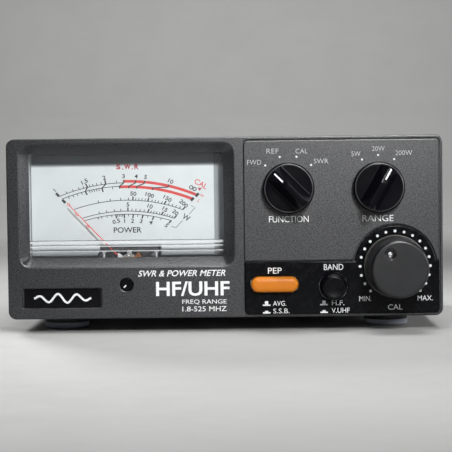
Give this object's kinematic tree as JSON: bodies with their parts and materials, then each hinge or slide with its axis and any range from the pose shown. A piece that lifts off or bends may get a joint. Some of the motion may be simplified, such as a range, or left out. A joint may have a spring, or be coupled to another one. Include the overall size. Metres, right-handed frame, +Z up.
{
  "type": "swr meter",
  "caption": "Desktop radio SWR and power meter: wide moving-coil dial, two bar knobs, knurled calibration knob, push-lock buttons, coaxial sockets behind.",
  "frame": {"origin": "on the surface the feet stand on, under the middle of the overall box", "axes": "+X to the right as the front is seen, +Y from the front panel to the back, +Z up"},
  "size_m": [0.1586, 0.1332, 0.0693],
  "materials": {
    "bezel_plastic": "fine satin texture, dark grey",
    "black_plastic": "smooth, half gloss",
    "case_paint": "fine crackle paint, black",
    "plated_steel": "zinc plated, dull",
    "black_steel": "black oxide, satin",
    "foot_rubber": "matte, grey",
    "switch_plastic": "moulded, matte",
    "white_plastic": "moulded, satin",
    "orange_plastic": "smooth, half gloss",
    "circuit_board": "green solder mask",
    "clear_plastic": "polished clear acrylic",
    "dial_white": "matte, cool white",
    "soft_iron": "plain, dull",
    "magnet_alloy": "ground, dull",
    "nickel": "nickel plated, bright",
    "lamp_glass": "clear bulb",
    "pointer_red": "matte enamel",
    "copper": "enamelled copper wire",
    "spring_bronze": "phosphor bronze, bright",
    "contact_brass": "machined, bright",
    "alloy": "turned, satin",
    "cast_alloy": "die cast, dull",
    "ptfe": "waxy white",
    "ferrite": "sintered, matte"
  },
  "bodies": {
    "case": {"front_bezel": "bezel_plastic", "control_panel": "black_plastic", "badge_plate": "black_plastic", "top_cover": "case_paint", "chassis_pan": "plated_steel", "foot_front_left": "foot_rubber", "foot_front_right": "foot_rubber", "foot_rear_left": "foot_rubber", "foot_rear_right": "foot_rubber", "cover_screw_left_front": "black_steel", "cover_screw_left_rear": "black_steel", "cover_screw_right_front": "black_steel", "cover_screw_right_rear": "black_steel", "function_switch": "switch_plastic", "range_switch": "switch_plastic", "cal_potentiometer": "plated_steel", "pep_switch": "white_plastic", "band_switch": "white_plastic", "switch_bracket": "plated_steel", "main_board": "circuit_board", "meter_cover": "clear_plastic", "meter_housing": "white_plastic", "dial_plate": "dial_white", "magnet_yoke": "soft_iron", "core_magnet": "magnet_alloy", "front_bridge": "black_steel", "bridge_screw_left": "nickel", "bridge_screw_right": "nickel", "meter_lamp": "lamp_glass", "rear_panel": "case_paint", "hf_antenna_socket": "nickel", "hf_antenna_insulator": "ptfe", "hf_transmitter_socket": "nickel", "hf_transmitter_insulator": "ptfe", "vhf_antenna_socket": "nickel", "vhf_antenna_insulator": "ptfe", "vhf_transmitter_socket": "nickel", "vhf_transmitter_insulator": "ptfe", "hf_through_line": "contact_brass", "vhf_through_line": "contact_brass", "hf_sensor_box": "cast_alloy", "vhf_sensor_box": "cast_alloy", "hf_toroid": "ferrite", "dc_jack": "black_plastic"},
    "function_control": {"function_knob": "black_plastic", "function_shaft": "alloy"},
    "range_control": {"range_knob": "black_plastic", "range_shaft": "alloy"},
    "cal_control": {"cal_knob": "black_plastic", "cal_shaft": "alloy"},
    "pep_push": {"pep_button": "orange_plastic", "pep_plunger": "white_plastic"},
    "band_push": {"band_button": "black_plastic", "band_plunger": "white_plastic"},
    "zero_set": {"zero_screw": "black_plastic"},
    "zero_arm": {"zero_lever": "spring_bronze", "hairspring": "spring_bronze"},
    "movement": {"pointer": "pointer_red", "moving_coil": "copper"}
  },
  "joints": [
    {"name": "function_turn", "type": "hinge", "parent": "case", "child": "function_control", "pos_m": [0.0228, -0.05005, 0.05085], "axis": [0, 1, 0], "range_deg": [0, 90]},
    {"name": "range_turn", "type": "hinge", "parent": "case", "child": "range_control", "pos_m": [0.0547, -0.05005, 0.05085], "axis": [0, 1, 0], "range_deg": [-60, 0]},
    {"name": "cal_turn", "type": "hinge", "parent": "case", "child": "cal_control", "pos_m": [0.0605, -0.05005, 0.02275], "axis": [0, 1, 0], "range_deg": [-102.5, 167.5]},
    {"name": "pep_press", "type": "slide", "parent": "case", "child": "pep_push", "axis": [0, 1, 0], "range_m": [0, 0.003], "stiffness_N_per_m": 150, "springref_m": -0.004},
    {"name": "band_press", "type": "slide", "parent": "case", "child": "band_push", "axis": [0, 1, 0], "range_m": [0, 0.003], "stiffness_N_per_m": 150, "springref_m": -0.004},
    {"name": "zero_screw_turn", "type": "hinge", "parent": "case", "child": "zero_set", "pos_m": [-0.0352, -0.04705, 0.01705], "axis": [0, 1, 0], "range_deg": [-40, 40]},
    {"name": "zero_arm_turn", "type": "hinge", "parent": "case", "child": "zero_arm", "pos_m": [-0.0352, -0.04245, 0.02295], "axis": [0, 1, 0], "range_deg": [-6.6, 6.6]},
    {"name": "pointer_swing", "type": "hinge", "parent": "zero_arm", "child": "movement", "pos_m": [-0.0352, -0.04005, 0.02295], "axis": [0, 1, 0], "range_deg": [0, 88.4], "stiffness_Nm_per_rad": 0.00002, "springref_deg": -17.19, "deforming": ["hairspring"]}
  ],
  "couplings": [
    {"joint": "zero_arm_turn", "follows": "zero_screw_turn", "ratio": -0.163}
  ]
}
